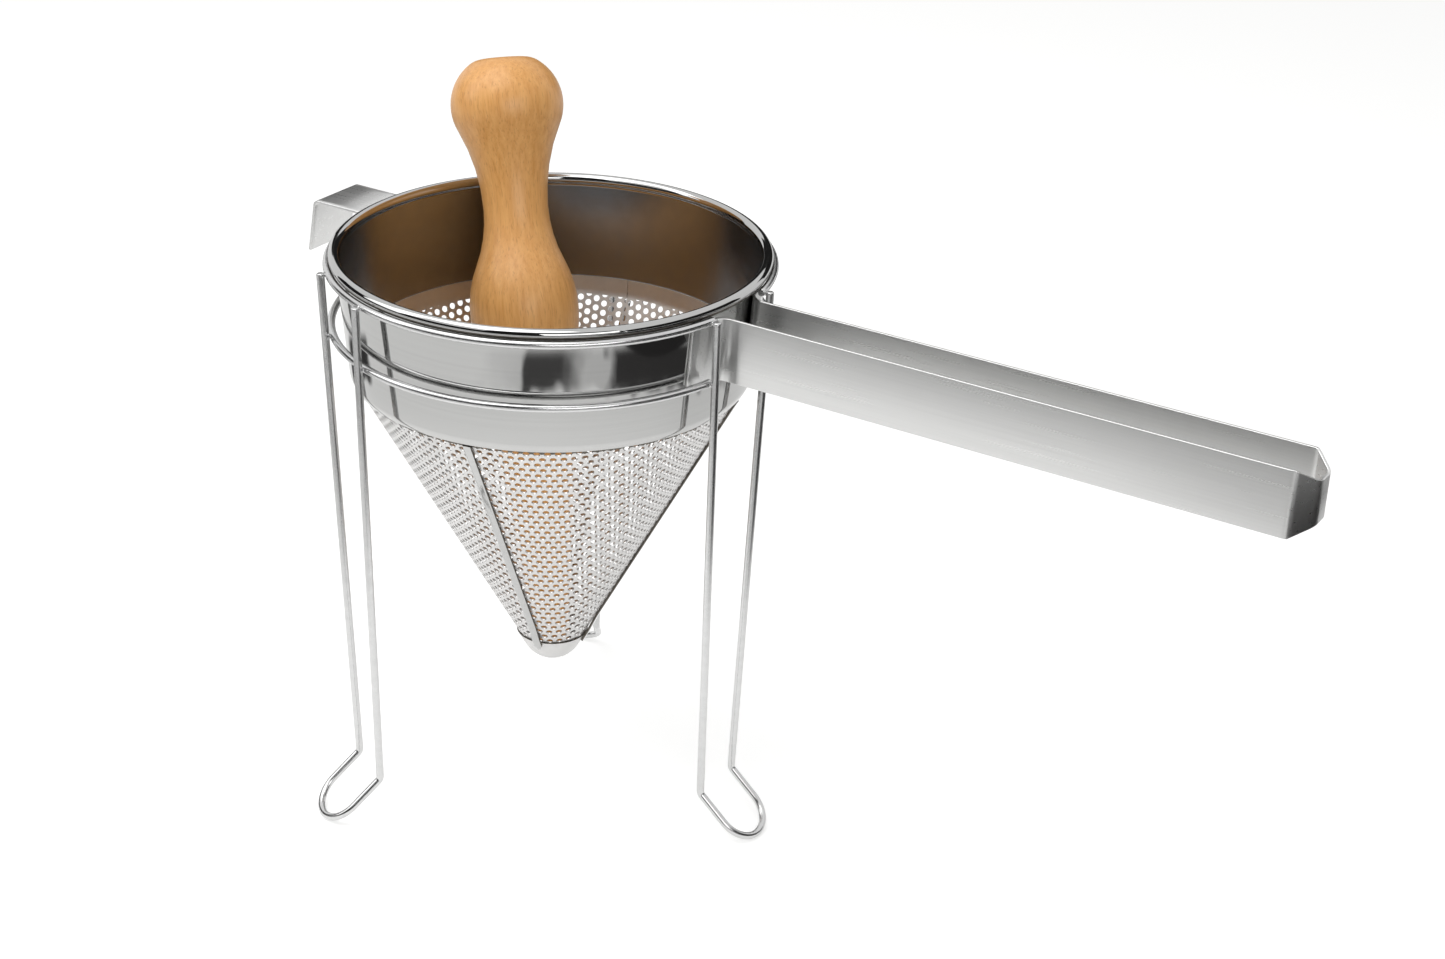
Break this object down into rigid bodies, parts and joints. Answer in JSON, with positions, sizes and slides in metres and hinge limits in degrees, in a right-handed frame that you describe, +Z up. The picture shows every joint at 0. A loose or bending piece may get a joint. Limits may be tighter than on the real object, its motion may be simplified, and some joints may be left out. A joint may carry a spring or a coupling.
{
  "type": "cone sieve with stand and pestle",
  "caption": "Perforated steel cone sieve with a looped strap handle and a pan hook, resting in a legged wire stand, with a turned wooden pestle for pressing food through it.",
  "frame": {"origin": "on the floor under the sieve's axis", "axes": "+X along the handle away from the sieve, +Z up along the sieve's axis"},
  "size_m": [0.442, 0.1914, 0.2973],
  "materials": {
    "stand_wire": "bright plated steel wire",
    "polished_sheet": "mirror-polished stainless steel sheet",
    "perforated_sheet": "bright punched stainless steel sheet",
    "brushed_strap": "finely brushed stainless steel strap",
    "lacquered_wood": "turned hardwood under clear satin lacquer"
  },
  "bodies": {
    "stand": {"upper_ring": "stand_wire", "lower_ring": "stand_wire", "handle_leg": "stand_wire", "left_leg": "stand_wire", "back_leg": "stand_wire"},
    "sieve": {"collar": "polished_sheet", "rim_wire": "stand_wire", "cone_panel_1": "perforated_sheet", "cone_panel_2": "perforated_sheet", "cone_panel_3": "perforated_sheet", "cone_panel_4": "perforated_sheet", "seam_strip_1": "polished_sheet", "seam_strip_2": "polished_sheet", "seam_strip_3": "polished_sheet", "seam_strip_4": "polished_sheet", "tip_cap": "polished_sheet", "handle": "brushed_strap", "pan_hook": "brushed_strap"},
    "pestle": {"pestle": "lacquered_wood"}
  },
  "joints": [
    {"name": "sieve_lift", "type": "slide", "parent": "stand", "child": "sieve", "axis": [0, 0, 1], "range_m": [0, 0.2]},
    {"name": "pestle_stir", "type": "hinge", "parent": "sieve", "child": "pestle", "pos_m": [0, 0, 0.061], "axis": [0, 0, 1], "continuous": true}
  ]
}
